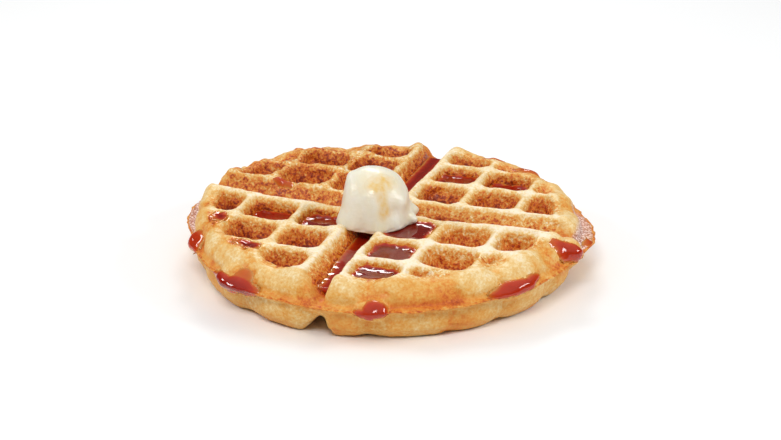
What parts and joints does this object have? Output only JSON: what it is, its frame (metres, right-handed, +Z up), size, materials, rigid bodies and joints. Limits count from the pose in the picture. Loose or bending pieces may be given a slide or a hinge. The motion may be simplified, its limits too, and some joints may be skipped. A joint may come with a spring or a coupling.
{
  "type": "round waffle",
  "caption": "Round deep-pocket waffle in four quarters, with a scoop of butter and syrup in its pockets and grooves.",
  "frame": {"origin": "under the middle of the waffle's outline, on the plane that it rests on", "axes": "+Z up through the thickness; +X along one groove to the right-hand end with the large drop; +Y along the other groove to the back"},
  "size_m": [0.1786, 0.1786, 0.0471],
  "materials": {
    "crust": "crisp baked crust, golden brown in the pockets, pale on the crests and the outer wall",
    "butter": "soft ivory butter with a wet sheen",
    "syrup": "glossy deep red-amber syrup"
  },
  "bodies": {
    "root": {"waffle": "crust", "butter": "butter", "syrup_front_right_1_1": "syrup", "syrup_front_right_1_2": "syrup", "syrup_front_right_1_3": "syrup", "syrup_front_left_1_1": "syrup", "syrup_front_left_2_1": "syrup", "syrup_front_left_3_2": "syrup", "syrup_front_left_2_3": "syrup", "syrup_back_right_1_2": "syrup", "syrup_back_right_2_2": "syrup", "syrup_groove_front": "syrup", "syrup_groove_back": "syrup", "syrup_groove_right": "syrup"}
  },
  "joints": []
}
